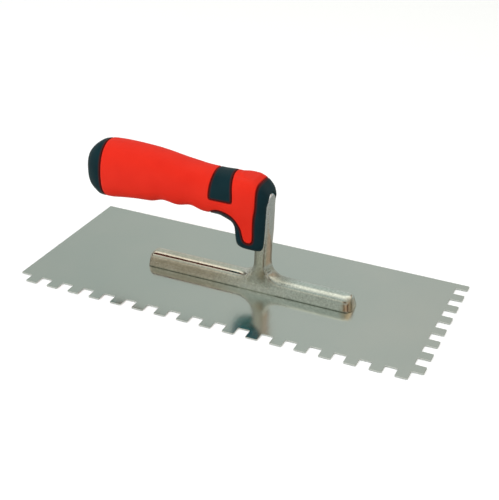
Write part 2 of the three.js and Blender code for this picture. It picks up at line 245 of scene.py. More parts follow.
def settle(points, field, grid, steps=4, probe=0.05):
    """Move points down the field's gradient on to its surface."""
    def value(p):
        return field(p[:, 0], p[:, 1], p[:, 2])
    for _ in range(steps):
        v = value(points)
        gradient = np.stack([(value(points + o) - value(points - o)) / (2 * probe)
                             for o in np.eye(3) * probe], 1)
        move = v[:, None] * gradient / np.maximum((gradient**2).sum(1), 0.05)[:, None]
        length = np.linalg.norm(move, axis=1, keepdims=True)
        points = points - move * np.minimum(1, 0.4 * grid / np.maximum(length, 1e-9))
    return points


def mesh_field(name, field, low, high, grid):
    """Mesh the surface where field is zero, inside the box from low to high."""
    axes = [np.arange(low[i], high[i] + grid, grid) for i in range(3)]
    F = field(axes[0][:, None, None], axes[1][None, :, None], axes[2][None, None, :])
    F = unpinch(np.array(np.broadcast_to(F, [len(axis) for axis in axes])))
    inside = F < 0
    count = sum(corner.astype(np.int8) for corner in corner_views(inside))
    cells = np.nonzero((count > 0) & (count < 8))
    vertex_of = np.full(count.shape, -1, np.int64)
    vertex_of[cells] = np.arange(len(cells[0]))
    points = cell_points(F, cells) * grid + np.array([axis[0] for axis in axes])
    points = settle(points, field, grid)
    quads = cell_quads(inside, vertex_of)

    mesh = bpy.data.meshes.new(name)
    mesh.vertices.add(len(points))
    mesh.vertices.foreach_set("co", (points * MM).astype(np.float32).ravel())
    mesh.loops.add(len(quads) * 4)
    mesh.loops.foreach_set("vertex_index", quads.astype(np.int32).ravel())
    mesh.polygons.add(len(quads))
    mesh.polygons.foreach_set("loop_start", np.arange(0, len(quads) * 4, 4, dtype=np.int32))
    mesh.polygons.foreach_set("use_smooth", np.ones(len(quads), bool))
    mesh.update(calc_edges=True)
    mesh.validate()
    return add_object(name, mesh)


# ---------------------------------------------------------------------------
# handle envelope
# ---------------------------------------------------------------------------
# x, half width, top z, bottom z
GRIP_STATIONS = [
    (-116.55, 3.0, 70.35, 61.26), (-115.55, 6.5, 75.05, 56.68), (-113.35, 10.0, 78.53, 50.04),
    (-109.85, 12.8, 82.06, 47.1), (-104.55, 14.8, 85.26, 44.31), (-97.5, 15.6, 86.47, 44.48),
    (-88.0, 15.4, 86.82, 45.78), (-78.0, 14.9, 86.62, 46.82), (-68.0, 14.4, 86.16, 47.48),
    (-58.0, 14.0, 85.0, 50.04), (-48.0, 13.7, 83.48, 48.88), (-38.0, 13.4, 82.11, 50.78),
    (-28.0, 13.2, 81.17, 48.44), (-18.0, 13.0, 80.98, 48.3), (-8.0, 12.9, 81.55, 45.62),
    (1.0, 12.7, 80.1, 46.55), (8.0, 12.0, 77.4, 46.99)]
# z, front x, back x, half width
NOSE_STATIONS = [
    (29.9, 14.2, 1.5, 7.0), (30.5, 15.6, -3.7, 8.6), (32.0, 16.6, -5.5, 9.8),
    (34.5, 17.1, -6.1, 10.4), (42.0, 17.4, -7.1, 10.8), (48.0, 17.5, -8.3, 11.4),
    (55.0, 17.6, -9.43, 12.0), (62.0, 17.8, -10.5, 12.6), (66.0, 18.26, -10.51, 12.8),
    (70.0, 17.46, -10.0, 12.7), (73.5, 15.4, -9.0, 12.2), (76.5, 12.42, -7.51, 11.0),
    (79.0, 8.58, -4.97, 9.0), (79.9, 7.34, -2.0, 6.0)]
GRIP_POWER = 2.25                    # squareness of the sections, 2 = ellipse
NOSE_POWER_FRONT, NOSE_POWER_BACK = 4.0, 2.6
NOSE_BLEND = 3.5
INSET = 0.35                         # the surface lies this far inside the stations

grip_half, grip_top, grip_bottom = station_curves(GRIP_STATIONS, -120, 14)
nose_front, nose_back, nose_half = station_curves(NOSE_STATIONS, 28, 84)


def between(field, place, stations):
    """Cut a field off flat at the first and last station."""
    return np.maximum(np.maximum(field, stations[0][0] - place), place - stations[-1][0])


def grip_envelope(x, y, z):
    half, top, bottom = grip_half(x), grip_top(x), grip_bottom(x)
    height = (top - bottom) / 2
    q = ((np.abs(y) / half) ** GRIP_POWER
         + (np.abs(z - (top + bottom) / 2) / height) ** GRIP_POWER) ** (1 / GRIP_POWER)
    return between((q - 1) * np.minimum(half, height), x, GRIP_STATIONS)


def nose_envelope(x, y, z):
    front, back, half = nose_front(z), nose_back(z), nose_half(z)
    depth = (front - back) / 2
    centre = (front + back) / 2
    power = np.where(x > centre, NOSE_POWER_FRONT, NOSE_POWER_BACK)
    q = ((np.abs(x - centre) / depth) ** power + (np.abs(y) / half) ** power) ** (1 / power)
    return between((q - 1) * np.minimum(depth, half), z, NOSE_STATIONS)


def handle_envelope(x, y, z):
    return smin(grip_envelope(x, y, z), nose_envelope(x, y, z), NOSE_BLEND) + INSET


# ---------------------------------------------------------------------------
# mounting casting: bar, post and tang
# ---------------------------------------------------------------------------
SHEET = 0.8                          # blade thickness
RIVETS = [-55 + 17.6 * i for i in range(8)]
RIVET_BORE, RIVET_BORE_TOP = 1.9, 6.3
SCREW_Z = 63.5                       # height of the tang and the screw's axis

BAR_REAR, BAR_FRONT, BAR_HALF, BAR_TOP, BAR_BASE = -68.6, 78.7, 9.3, 10.1, 0.82
BAR_SIDE_DRAFT = 0.30
BAR_END_DRAFT = (0.03, 0.20)         # rear, front, as in the next two
BAR_CORNER = (2.8, 6.4)
BAR_EDGE = (4.2, 3.7)
BAR_EDGE_LOSS = 1.4                  # the top edge is tighter at the ends
BAR_CROWN = 60.0                     # divides y**2, as do the post's

POST_BACK, POST_FRONT, POST_HALF = 8.3, 17.8, 7.1
POST_SPRING = 62.9                   # height where the rounded top starts
POST_BASE = 3.0
POST_LEAN = 0.55                     # how far the front face moves out, going up
POST_CROWN, POST_CROWN_TOP = 45.0, 40
POST_BLEND = 11.5                    # fillet between the post and the bar

TANG_REAR, TANG_FRONT = -66, 13


def bar_half(z):
    return BAR_HALF - BAR_SIDE_DRAFT * (z - SHEET)


def bar_field(x, y, z):
    centre = (BAR_REAR + BAR_FRONT) / 2
    rear = x < centre
    corner = np.where(rear, *BAR_CORNER)
    taper = np.where(rear, *BAR_END_DRAFT) * (z - SHEET)
    dx = np.abs(x - centre) + taper - ((BAR_FRONT - BAR_REAR) / 2 - corner)
    dy = np.abs(y) - (bar_half(z) - corner)
    plan = (np.minimum(np.maximum(dx, dy), 0)
            + np.hypot(np.maximum(dx, 0), np.maximum(dy, 0)) - corner)
    edge = np.where(rear, *BAR_EDGE) - BAR_EDGE_LOSS * np.clip((dx - dy) / 3, 0, 1)
    body = smax(plan * 0.96, z - BAR_TOP + y**2 / BAR_CROWN, edge)
    return smax(body, BAR_BASE - z, 0.5)


def post_arch(y, z):
    return np.where(z > POST_SPRING, np.hypot(y, z - POST_SPRING), np.abs(y)) - POST_HALF


def post_field(x, y, z):
    lean = np.clip((z - 30) / 14, 0, 1)
    lean = lean * lean * (3 - 2 * lean)
    top = np.clip((z - 61.5) / 8, 0, 1)      # 0 below the rounded top, 1 in it
    front = x - POST_FRONT - POST_LEAN * lean + y**2 / (POST_CROWN + POST_CROWN_TOP * top)
    back_rounded = smax(post_arch(y, z), POST_BACK - x, 4.6)
    body = smax(back_rounded, front + 0.5 * top**2, 1.9 + 0.9 * top)
    return np.maximum(body, POST_BASE - z)


def tang_field(x, y, z):
    t = np.clip((12 - x) / 78, 0, 1)         # narrows towards the rear
    body = smax(np.abs(y) - (5.2 - 1.8 * t), np.abs(z - SCREW_Z) - (5.2 - 1.6 * t), 2.0)
    return np.maximum(np.maximum(body, TANG_REAR - x), x - TANG_FRONT)


def bored(field, x, y, z, radius, front):
    """Cut the screw's bore, open to the rear and ending at x = front."""
    return np.maximum(field, -np.maximum(np.hypot(y, z - SCREW_Z) - radius, x - front))


def casting_field(x, y, z):
    bar, post = bar_field(x, y, z), post_field(x, y, z)
    v = smin(bar, post, POST_BLEND)
    # the post stands flush with the bar's sides
    swell = np.clip((np.minimum(bar, post) - v) / 1.3, 0, 1)
    flank = np.abs(y) - smax(bar_half(z), POST_HALF, 1.6) - 0.45 + 0.8 * swell
    v = smax(v, flank, 2.2)
    v = np.minimum(v, tang_field(x, y, z))
    v = np.maximum(v, SHEET - z)
    for rivet_x in RIVETS:
        v = np.maximum(v, -np.maximum(np.hypot(x - rivet_x, y) - RIVET_BORE,
                                      z - RIVET_BORE_TOP))
    return bored(v, x, y, z, radius=2.6, front=-48.4)


# ---------------------------------------------------------------------------
# moulded pieces of the handle
# ---------------------------------------------------------------------------
# x, z outlines of the regions that the pad and the collar take from the handle
PAD = [(-20.2, 99), (-21.0, 79.8), (-21.9, 72.8), (-22.3, 66), (-22.2, 63.6), (-21.6, 62.7),
       (-20.4, 62.5), (-7.4, 62.5), (-6.2, 62.8), (-5.6, 63.8), (-5.7, 67.5), (-6.4, 72),
       (-7.4, 77.6), (-8.4, 82), (-8.8, 99)]
COLLAR = [(10.2, 99), (10.5, 76), (10.7, 66), (10.4, 61), (9.4, 55), (8.9, 47), (8.9, 40.4),
          (8.6, 37.0), (6.9, 35.5), (4.1, 35.5), (2.2, 37.0), (1.1, 40.4), (0.1, 44.6),
          (-2.2, 48), (-4.4, 50.8), (-7.7, 53.2), (-12.1, 55.0), (-17.4, 54.9), (-21.0, 53.4),
          (-24.0, 50.6), (-25.5, 46), (-25.5, 15), (60, 15), (60, 99)]
CAP_X = -101.35                      # seam between the cap and the grip
SHELL = 3.2                          # wall of the mouldings
EDGE = 0.96                          # blend that turns a moulded edge over
SEAM_EDGE = 0.3                      # blend where two seams of the grip meet
GAP = 0.06                           # between neighbouring mouldings
CLEARANCE = 0.12                     # round the post and tang, and under the shell

pad_outline = Outline(PAD)
collar_outline = Outline(COLLAR)


def post_seat(x, y, z):
    """Room for the post and tang; the slot runs out through the collar's front."""
    slot = np.maximum(post_arch(y, z), POST_BACK - x)
    return np.minimum(slot, tang_field(x, y, z)) - CLEARANCE


def shell(x, y, z, region):
    """The part of the handle's wall that lies inside region."""
    envelope = handle_envelope(x, y, z)
    return np.maximum(smax(envelope, region, EDGE), -(envelope + SHELL))


def cap_field(x, y, z):
    return shell(x, y, z, x - (CAP_X - GAP / 2))


def pad_field(x, y, z):
    return shell(x, y, z, pad_outline(x, z) + GAP / 2)


def collar_field(x, y, z):
    wall = shell(x, y, z, collar_outline(x, z) + GAP / 2)
    return smax(wall, -post_seat(x, y, z), 0.5)


def grip_field(x, y, z):
    region = smax(-pad_outline(x, z), -collar_outline(x, z), SEAM_EDGE)
    region = smax(region, (CAP_X + GAP) - x, SEAM_EDGE) + GAP / 2
    return np.maximum(shell(x, y, z, region), -post_seat(x, y, z))


def core_field(x, y, z):
    """Rigid core under the mouldings, ending at the post's back."""
    v = np.maximum(handle_envelope(x, y, z) + SHELL + CLEARANCE, x - (POST_BACK - 0.15))
    v = np.maximum(v, -post_seat(x, y, z))
    v = bored(v, x, y, z, radius=2.65, front=-60.0)
    return bored(v, x, y, z, radius=6.6, front=-98.3)    # screw head and washer


def seam_distance(ob, distance):
    """Store how far each point of a moulding is from the seam round it."""
    co = np.empty(len(ob.data.vertices) * 3, np.float32)
    ob.data.vertices.foreach_get("co", co)
    p = co.reshape(-1, 3).astype(float) / MM
    seam = ob.data.attributes.new("seam", "FLOAT", "POINT")
    seam.data.foreach_set("value", distance(p[:, 0], p[:, 2]).astype(np.float32))


GRID = 0.5
CORE_GRID = 0.8
cap = mesh_field("butt_cap_moulding", cap_field, (-118.5, -17.5, 41), (-100, 17.5, 89), GRID)
pad = mesh_field("thumb_pad_moulding", pad_field, (-24, -15, 60), (-4, 15, 84), GRID)
collar = mesh_field("front_collar_moulding", collar_field, (-28, -15, 28.5), (22, 15, 84), GRID)
grip = mesh_field("grip_moulding", grip_field, (-103, -17.5, 34), (14, 17.5, 89), GRID)
core = mesh_field("handle_core_moulding", core_field, (-118, -15, 29), (12, 15, 88), CORE_GRID)

seam_distance(cap, lambda x, z: (CAP_X - GAP / 2) - x)
seam_distance(pad, lambda x, z: -pad_outline(x, z) - GAP / 2)
seam_distance(collar, lambda x, z: -collar_outline(x, z) - GAP / 2)
seam_distance(grip, lambda x, z: np.minimum(
    np.minimum(pad_outline(x, z), collar_outline(x, z)) - GAP / 2, x - CAP_X - 1.5 * GAP))
cast = mesh_field("mounting_casting_body", casting_field, (-70, -11.5, 0), (83.5, 11.5, 71), GRID)

# ---------------------------------------------------------------------------
# blade
# ---------------------------------------------------------------------------
BLADE_LENGTH, BLADE_WIDTH = 280.0, 128.0
TOOTH_DEPTH, TOOTH_WIDTH, TOOTH_PITCH = 8.0, 8.0, 16.0
SIDE_TEETH, SIDE_START = 17, 8.6     # along -Y, first one from the -X end
END_TEETH, END_START = 8, 9.2        # along +X, first one from the -Y edge
TOOTH_ROUND, ROUND_STEPS = 0.75, 4
SHEET_BEVEL = 0.12
RIVET_HOLE, HOLE_SEGMENTS = 3.1, 48


def blade_outline():
    x0, x1 = -BLADE_LENGTH / 2, BLADE_LENGTH / 2
    y0, y1 = -BLADE_WIDTH / 2, BLADE_WIDTH / 2
    side_root, end_root = y0 + TOOTH_DEPTH, x1 - TOOTH_DEPTH
    points = [(x0, y1), (x0, side_root)]
    for i in range(SIDE_TEETH):
        x = x0 + SIDE_START + TOOTH_PITCH * i
        points += [(x, side_root), (x, y0), (x + TOOTH_WIDTH, y0), (x + TOOTH_WIDTH, side_root)]
    # the last side tooth runs up to the first end tooth
    points[-1] = (points[-1][0], y0 + END_START)
    for j in range(END_TEETH):
        y = y0 + END_START + TOOTH_PITCH * j
        if j > 0:
            points.append((end_root, y))
        points.append((x1, y))
        if j < END_TEETH - 1:
            points += [(x1, y + TOOTH_WIDTH), (end_root, y + TOOTH_WIDTH)]
    # the last end tooth runs into the blade's corner
    return points + [(x1, y1)]


def rounded(points):
    """Replace each corner with an arc."""
    out = []
    for i, point in enumerate(points):
        p = np.array(point, float)
        before = np.array(points[i - 1], float) - p
        after = np.array(points[(i + 1) % len(points)], float) - p
        u = before / np.linalg.norm(before)
        v = after / np.linalg.norm(after)
        start, end = p + u * TOOTH_ROUND, p + v * TOOTH_ROUND
        centre = p + (u + v) * TOOTH_ROUND
        for k in range(ROUND_STEPS + 1):
            t = k / ROUND_STEPS
            q = (1 - t) * start + t * end - centre
            out.append(tuple(centre + q / np.linalg.norm(q) * TOOTH_ROUND))
    return out


def add_spline(curve, points):
    spline = curve.splines.new("POLY")
    spline.points.add(len(points) - 1)
    for k, (x, y) in enumerate(points):
        spline.points[k].co = (x, y, 0, 1)
    spline.use_cyclic_u = True


def make_blade():
    curve = bpy.data.curves.new("blade_curve", "CURVE")
    curve.dimensions = "2D"
    curve.fill_mode = "BOTH"
    add_spline(curve, rounded(blade_outline()))
    turns = np.linspace(0, 2 * math.pi, HOLE_SEGMENTS + 1)[:-1]
    for x in RIVETS:
        add_spline(curve, [(x + RIVET_HOLE * math.cos(t), RIVET_HOLE * math.sin(t))
                           for t in turns])
    curve.extrude = SHEET / 2 - SHEET_BEVEL
    curve.bevel_depth = SHEET_BEVEL
    curve.bevel_resolution = 2
    curve.offset = -SHEET_BEVEL
    source = add_object("blade_tmp", curve)
    graph = bpy.context.evaluated_depsgraph_get()
    mesh = bpy.data.meshes.new_from_object(source.evaluated_get(graph))
    mesh.name = "blade_sheet"
    bpy.data.objects.remove(source)
    bpy.data.curves.remove(curve)
    mesh.transform(Matrix.Translation((0, 0, SHEET / 2)))
    mesh.transform(Matrix.Scale(MM, 4))
    bm = bmesh.new()
    bm.from_mesh(mesh)
    bmesh.ops.remove_doubles(bm, verts=bm.verts, dist=1e-7)
    bmesh.ops.recalc_face_normals(bm, faces=bm.faces)
    bm.to_mesh(mesh)
    bm.free()
    for face in mesh.polygons:
        face.use_smooth = abs(face.normal.z) < 0.999
    mesh.materials.clear()
    return add_object("blade_sheet", mesh)


blade = make_blade()

# ---------------------------------------------------------------------------
# rivets
# ---------------------------------------------------------------------------
# radius, z: a countersunk head flush with the blade's underside, then the shank
RIVET_PROFILE = [(0, 0.03), (1.6, 0.02), (2.85, 0.0), (3.02, 0.06), (3.04, 0.14),
                 (1.85, 0.8), (1.8, 1.0), (1.8, 5.9), (1.5, 6.2), (0, 6.2)]


def lathe(name, profile, segments=48):
    """Turn a radius, z profile about the Z axis."""
    bm = bmesh.new()
    rings = []
    for radius, z in profile:
        if radius < 1e-6:
            rings.append([bm.verts.new((0, 0, z))])
        else:
            turns = [2 * math.pi * k / segments for k in range(segments)]
            rings.append([bm.verts.new((radius * math.cos(t), radius * math.sin(t), z))
                          for t in turns])
    for lower, upper in zip(rings, rings[1:]):
        for k in range(segments):
            k2 = (k + 1) % segments
            if len(lower) == 1:
                bm.faces.new((lower[0], upper[k2], upper[k]))
            elif len(upper) == 1:
                bm.faces.new((lower[k], lower[k2], upper[0]))
            else:
                bm.faces.new((lower[k], lower[k2], upper[k2], upper[k]))
    bmesh.ops.recalc_face_normals(bm, faces=bm.faces)
    mesh = bpy.data.meshes.new(name)
    bm.to_mesh(mesh)
    bm.free()
    mesh.transform(Matrix.Scale(MM, 4))
    for face in mesh.polygons:
        face.use_smooth = True
    return add_object(name, mesh)


rivets = []
for i, x in enumerate(RIVETS):
    rivet = lathe(f"rivet_{i + 1}_turned", RIVET_PROFILE)
    rivet.data.transform(Matrix.Translation((x * MM, 0, 0)))
    rivets.append(rivet)


# ---------------------------------------------------------------------------
# shader graph helpers
# ---------------------------------------------------------------------------
class Graph:
    """Adds nodes to a cleared tree; sockets given as inputs are linked, values set."""

    def __init__(self, tree):
        self.tree = tree
        tree.nodes.clear()

    def fill(self, node, inputs):
        for key, value in inputs.items():
            if isinstance(value, bpy.types.NodeSocket):
                self.tree.links.new(value, node.inputs[key])
            else:
                node.inputs[key].default_value = value

    def add(self, kind, inputs=None, **settings):
        node = self.tree.nodes.new("ShaderNode" + kind)
        for name, value in settings.items():
            setattr(node, name, value)
        self.fill(node, inputs or {})
        return node

    def math(self, operation, *values):
        return self.add("Math", dict(enumerate(values)), operation=operation).outputs[0]

    def vector(self, operation, *values):
        return self.add("VectorMath", dict(enumerate(values)), operation=operation)

    def split(self, vector):
        return self.add("SeparateXYZ", {0: vector}).outputs

    def remap(self, value, span=(0.3, 0.7), to=(0, 1)):
        """Map span on to the range to; the default span is that of a noise."""
        return self.add("MapRange", {"From Min": span[0], "From Max": span[1], "To Min": to[0],
                                     "To Max": to[1], "Value": value}).outputs[0]

    def mix(self, factor, a, b, **settings):
        a, b = ((*c, 1) if isinstance(c, tuple) else c for c in (a, b))
        node = self.add("Mix", data_type="RGBA", **settings)
        self.fill(node, {"Factor": factor, "A": a, "B": b})
        return node.outputs["Result"]

    def noise(self, scale=1.0, detail=2.0, rough=0.5, stretch=None):
        """Noise over object space, which stretch scales along each axis."""
        place = self.place
        if stretch:
            place = self.add("Mapping", {"Scale": stretch, 0: place}).outputs[0]
        return self.add("TexNoise", {"Scale": scale, "Detail": detail, "Roughness": rough,
                                     "Vector": place}).outputs[0]

    def bump(self, height, strength, distance, normal=None):
        inputs = {"Strength": strength, "Distance": distance, "Height": height}
        if normal is not None:
            inputs["Normal"] = normal
        return self.add("Bump", inputs).outputs[0]

    def ramp(self, factor, stops):
        """Colour ramp through (position, red, green, blue) stops."""
        node = self.add("ValToRGB", {0: factor})
        node.color_ramp.interpolation = "LINEAR"
        elements = node.color_ramp.elements
        while len(elements) > 1:
            elements.remove(elements[-1])
        elements[0].position = stops[0][0]
        elements[0].color = (*stops[0][1:], 1)
        for position, *colour in stops[1:]:
            elements.new(position).color = (*colour, 1)
        return node.outputs[0]


def new_material(name):
    material = bpy.data.materials.new(name)
    material.use_nodes = True
    graph = Graph(material.node_tree)
    graph.output = graph.add("OutputMaterial")
    surface = graph.add("BsdfPrincipled")
    graph.fill(graph.output, {0: surface.outputs[0]})
    graph.place = graph.add("TexCoord").outputs["Object"]
    return material, graph, surface


# ---------------------------------------------------------------------------
# materials
# ---------------------------------------------------------------------------
def painted_reflection_colour(graph, colour, steep, shallow, underside):
    """Painted reflection: the colour seen in the metal is swapped for painted shade or light, by
    how steeply the ray comes from below.
    """
    glossy = graph.add("LightPath").outputs["Is Glossy Ray"]
    geometry = graph.add("NewGeometry").outputs
    slant = graph.remap(graph.split(geometry["Incoming"])[2], span=(-0.66, -0.54))
    if underside:                    # the shallow colour, painted light on an underside lit from below, only on faces turned down
        facing = graph.remap(graph.split(geometry["Normal"])[2], span=(-0.93, -0.55), to=(1, 0))
        slant = graph.math("MULTIPLY", slant, facing)
    return graph.mix(glossy, colour, graph.mix(slant, steep, shallow))


def moulded(name, colours, rough, grain, specular, seam=None, painted_reflection=None):
    """Plastic; grain is its bump depth, seam the (colour, reach in mm) of the painted groove
    shade at its seam; the mirrored colours are painted reflections.
    """
    material, graph, surface = new_material(name)
    colour = graph.mix(graph.remap(graph.noise(scale=60, detail=3)), *colours)
    # painted shade: darker towards the seam, in place of the shade in the groove between
    # mouldings
    if seam:
        seam_shade_colour, reach = seam
        distance = graph.add("Attribute", attribute_name="seam").outputs["Fac"]
        colour = graph.mix(graph.remap(distance, span=reach, to=(1, 0)), colour, seam_shade_colour)
    # painted reflection: what the metal mirrors of this plastic is painted, not lit
    if painted_reflection:
        colour = painted_reflection_colour(graph, colour, **painted_reflection)
    fine = graph.noise(scale=2600, detail=2, rough=0.6)
    mid = graph.noise(scale=240, detail=3, rough=0.6)
    roughness = graph.math("ADD", graph.remap(mid, to=(rough - 0.04, rough + 0.04)),
                           graph.remap(fine, to=(-0.03, 0.03)))
    normal = graph.bump(fine, strength=0.35, distance=grain)
    normal = graph.bump(mid, strength=0.15, distance=grain * 1.5, normal=normal)
    graph.fill(surface, {"Base Color": colour, "Roughness": roughness, "Normal": normal,
                         "Specular IOR Level": specular})
    return material


def blade_material():
    material, graph, surface = new_material("rolled_stainless_sheet")
    fine = graph.noise(detail=4, rough=0.65, stretch=(1500, 40, 800))
    coarse = graph.noise(detail=2, rough=0.5, stretch=(330, 14, 200))
    cloud = graph.remap(graph.noise(scale=14, detail=3, rough=0.55))
    roughness = graph.math("ADD", graph.remap(fine, span=(0.25, 0.75), to=(0.12, 0.18)),
                           graph.remap(coarse, span=(0.25, 0.75), to=(-0.02, 0.02)))
    normal = graph.bump(fine, strength=0.06, distance=0.00002)
    normal = graph.bump(coarse, strength=0.32, distance=0.00006, normal=normal)
    graph.fill(surface, {
        "Base Color": graph.mix(cloud, (0.60, 0.635, 0.60), (0.645, 0.66, 0.62)),
        "Metallic": 1.0, "Roughness": roughness, "Anisotropic": 0.75,
        "Tangent": graph.add("CombineXYZ", {0: 1.0}).outputs[0], "Normal": normal})
    # sheared edges: paler and duller than the rolled faces
    true_normal = graph.add("NewGeometry").outputs["True Normal"]
    upright = graph.math("ABSOLUTE", graph.split(true_normal)[2])
    edge = graph.add("BsdfPrincipled", {"Base Color": (0.62, 0.65, 0.62, 1),
                                        "Metallic": 0.35, "Roughness": 0.5})
    both = graph.add("MixShader", {0: graph.remap(upright, span=(0.55, 0.95), to=(1, 0)),
                                   1: surface.outputs[0], 2: edge.outputs[0]})
    graph.fill(graph.output, {0: both.outputs[0]})
    return material


# patches multiplied into the casting's colour, mostly painted shade and reflections: centre and
# reach in metres, fade from full to none, tint; the first is painted shade on the post's foot
PAINTED_LIGHT_PATCHES = [
    ((0.024, 0, 0.0105), (0.015, 0.010, 0.007), (0.35, 1.15), (0.66, 0.65, 0.62)),
    # darker low along the rear half's near face
    ((-0.045, -0.0092, 0.0058), (0.044, 0.0034, 0.0044), (0.6, 1.25), (0.76, 0.72, 0.67)),
    # painted shade in the fillet on the post's near side
    ((0.0150, -0.0075, 0.0130), (0.0035, 0.004, 0.0055), (0.3, 1.25), (0.74, 0.66, 0.58)),
    # painted brown reflection at the bar's front end, near corner
    ((0.0765, -0.006, 0.004), (0.0048, 0.0066, 0.0062), (0.4, 1.2), (0.76, 0.585, 0.44)),
    # painted pale reflection on the bar's front end face
    ((0.0795, 0.001, 0.004), (0.0025, 0.006, 0.009), (0.5, 1.2), (1.16, 1.27, 1.30))]


def cast_colour(graph):
    """Warm at -X, cool at +X and bluer up the post, speckled. The warm-to-cool shift and the
    bluer post are painted reflection of the different surroundings they mirror; the speckle is
    the tumbled skin.
    """
    cloud = graph.remap(graph.noise(scale=90, detail=3, rough=0.6))
    warm = graph.mix(cloud, (0.67, 0.63, 0.53), (0.75, 0.70, 0.60))
    cool = graph.mix(cloud, (0.62, 0.67, 0.62), (0.70, 0.75, 0.70))
    upper = graph.mix(cloud, (0.66, 0.70, 0.74), (0.72, 0.76, 0.80))
    x, _, z = graph.split(graph.place)
    patch = graph.noise(scale=30, detail=2, rough=0.5)
    along = graph.math("ADD", graph.remap(x, span=(-0.045, 0.045)),
                       graph.remap(patch, to=(-0.3, 0.3)))
    colour = graph.mix(graph.remap(along, span=(0, 1)), warm, cool)
    colour = graph.mix(graph.remap(z, span=(0.024, 0.056)), colour, upper)
    speckle = graph.remap(graph.noise(scale=760, detail=2, rough=0.6),
                          span=(0.32, 0.68), to=(0.84, 1.10))
    return graph.add("VectorMath", {0: colour, "Scale": speckle}, operation="SCALE").outputs[0]


def cast_material():
    material, graph, surface = new_material("tumbled_casting")
    colour = cast_colour(graph)
    spots = graph.noise(scale=260, detail=3, rough=0.6)
    strengths = []
    # multiply in the painted shade and reflection patches
    for centre, reach, fade, tint in PAINTED_LIGHT_PATCHES:
        offset = graph.vector("SUBTRACT", graph.place, centre).outputs[0]
        scaled = graph.vector("DIVIDE", offset, reach).outputs[0]
        distance = graph.math("ADD", graph.vector("LENGTH", scaled).outputs["Value"],
                              graph.remap(spots, to=(-0.15, 0.15)))
        strengths.append(graph.remap(distance, span=fade, to=(1.0, 0)))
        colour = graph.mix(strengths[-1], colour, tint, blend_type="MULTIPLY")
    fine = graph.noise(scale=900, detail=3, rough=0.6)
    mid = graph.noise(scale=220, detail=3, rough=0.55)
    lines = graph.noise(detail=3, rough=0.55, stretch=(620, 420, 45))
    pits = graph.noise(scale=520, detail=2, rough=0.6)
    foot_roughness = 0.16            # added where the painted shade on the post's foot is strongest
    roughness = graph.math("MULTIPLY_ADD", strengths[0], foot_roughness,
                           graph.remap(mid, to=(0.10, 0.17)))
    normal = graph.bump(pits, strength=0.22, distance=0.00012)
    normal = graph.bump(fine, strength=0.14, distance=0.00005, normal=normal)
    normal = graph.bump(mid, strength=0.24, distance=0.00020, normal=normal)
    normal = graph.bump(lines, strength=0.40, distance=0.00012, normal=normal)
    graph.fill(surface, {"Base Color": colour, "Metallic": 1.0, "Roughness": roughness,
                         "Normal": normal})
    return material


def plain_metal(name, colours, rough):
    material, graph, surface = new_material(name)
    grain = graph.noise(scale=1400, detail=3)
    graph.fill(surface, {"Base Color": graph.mix(graph.remap(grain), *colours), "Metallic": 1.0,
                         "Roughness": graph.remap(grain, to=rough),
                         "Normal": graph.bump(grain, strength=0.1, distance=0.00003)})
    return material


# red grip: its seam colour is painted groove shade, its mirrored colours painted reflections of
# its shaded underside
mat_red = moulded(
    "red_moulded_grip", colours=((0.735, 0.0195, 0.0078), (0.775, 0.0245, 0.0102)),
    rough=0.55, grain=0.00006, specular=0.14, seam=((0.26, 0.006, 0.004), (0.15, 0.75)),
    painted_reflection=dict(steep=(0.16, 0.035, 0.022), shallow=(0.34, 0.27, 0.245), underside=False))
# black mouldings: the seam colour is painted groove shade with a red tinge, the mirrored colours
# painted reflections, paler where the underside is lit
mat_black = moulded(
    "black_soft_moulding", colours=((0.0032, 0.0198, 0.0268), (0.0050, 0.0258, 0.0338)),
    rough=0.40, grain=0.00005, specular=0.10, seam=((0.075, 0.0050, 0.0042), (0.45, 1.75)),
    painted_reflection=dict(steep=(0.004, 0.10, 0.13), shallow=(0.10, 0.37, 0.41), underside=True))
mat_core = moulded("core_plastic", colours=((0.02, 0.02, 0.022), (0.03, 0.03, 0.032)),
                   rough=0.5, grain=0.00004, specular=0.4)
mat_blade = blade_material()
mat_cast = cast_material()
mat_rivet = plain_metal("ground_rivet", colours=((0.56, 0.57, 0.56), (0.64, 0.65, 0.64)),
                        rough=(0.25, 0.38))
mat_zinc = plain_metal("bright_zinc", colours=((0.62, 0.63, 0.64), (0.70, 0.71, 0.72)),
                       rough=(0.28, 0.4))

for part, material in (("handle_core", mat_core), ("tang_screw", mat_zinc),
                       ("tang_washer", mat_zinc)):
    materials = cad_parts[part].data.materials
    materials.clear()
    materials.append(material)


def hand_over(ob, material, part):
    """Give a piece its material and let it stand for a part of the frame."""
    ob.data.materials.append(material)
    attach(ob, "root")
    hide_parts(part)


hand_over(cap, mat_black, "butt_cap")
hand_over(pad, mat_black, "thumb_pad")
hand_over(collar, mat_black, "front_collar")
hand_over(grip, mat_red, "grip")
hand_over(cast, mat_cast, "mounting_casting")
hand_over(blade, mat_blade, "blade")
hand_over(core, mat_core, "handle_core")
for i, rivet in enumerate(rivets):
    hand_over(rivet, mat_rivet, f"rivet_{i + 1}")


